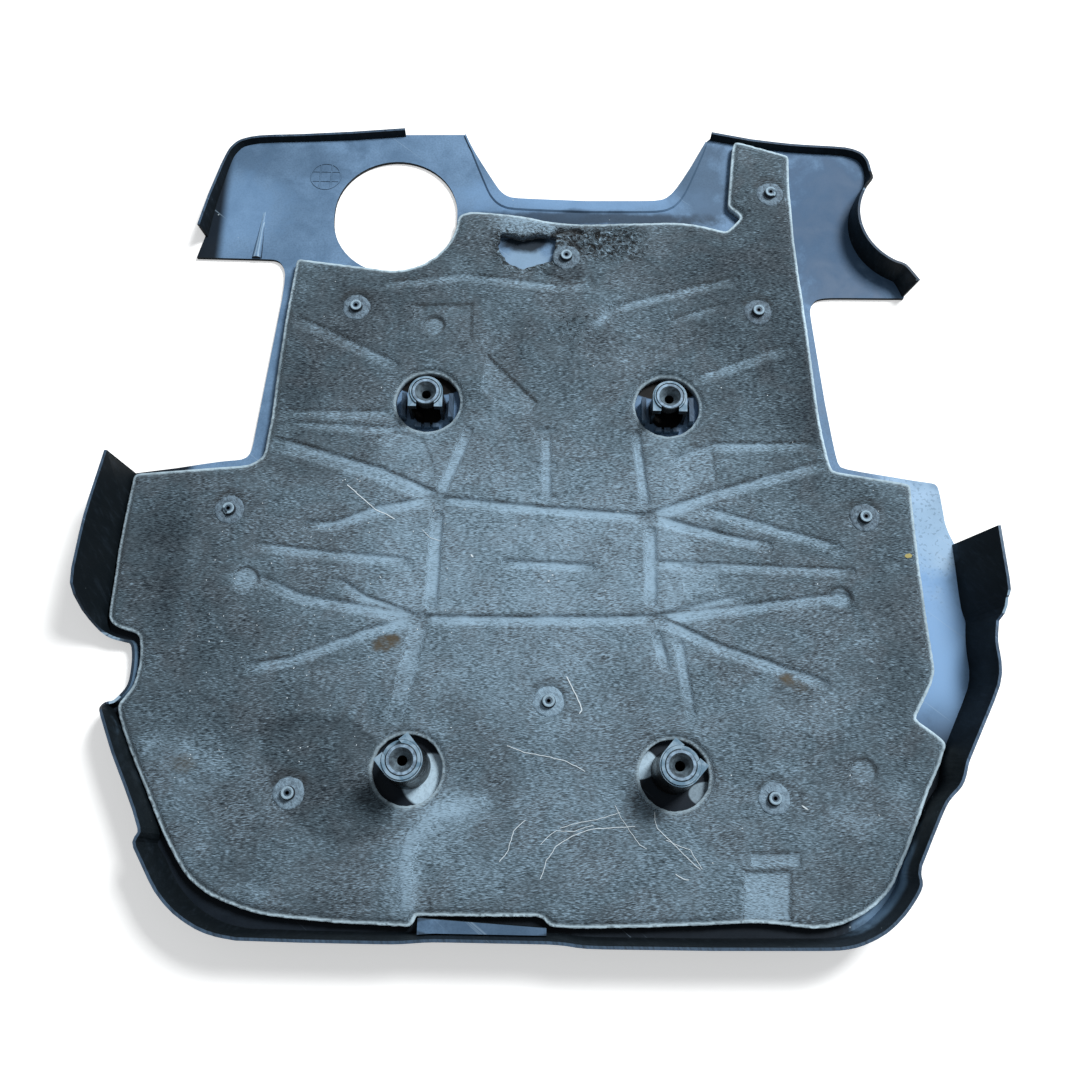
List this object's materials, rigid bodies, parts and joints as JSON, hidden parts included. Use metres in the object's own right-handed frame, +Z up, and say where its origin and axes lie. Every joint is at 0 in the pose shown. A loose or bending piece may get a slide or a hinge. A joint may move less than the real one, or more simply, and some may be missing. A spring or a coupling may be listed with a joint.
{
  "type": "engine cover",
  "caption": "Wide moulded engine cover lying on its show face: skirted panel with a filler hole, rear notch and arc cut-out, felted acoustic pad, push-on retainers and rubber stud grommets.",
  "frame": {"origin": "centre of the bounding box, on the plane that the show face lies on", "axes": "+Z up out of the open underside, +Y towards the rear notch and the two lobes, +X to the right when the underside is seen with the rear away from the viewer"},
  "size_m": [0.7065, 0.7009, 0.052],
  "materials": {
    "panel": "grained mouldings, satin",
    "pad": "pressed felt over foam",
    "grommet_rubber": "matt rubber",
    "retainer": "dusty plastic"
  },
  "bodies": {
    "root": {"cover_shell": "panel", "acoustic_pad": "pad", "holder_front_left": "panel", "holder_front_right": "panel", "holder_rear_left": "panel", "holder_rear_right": "panel", "grommet_front_left": "grommet_rubber", "grommet_front_right": "grommet_rubber", "grommet_rear_left": "grommet_rubber", "grommet_rear_right": "grommet_rubber", "pad_retainer_1": "retainer", "pad_retainer_2": "retainer", "pad_retainer_3": "retainer", "pad_retainer_4": "retainer", "pad_retainer_5": "retainer", "pad_retainer_6": "retainer", "pad_retainer_7": "retainer", "pad_retainer_8": "retainer", "pad_retainer_9": "retainer"}
  },
  "joints": []
}
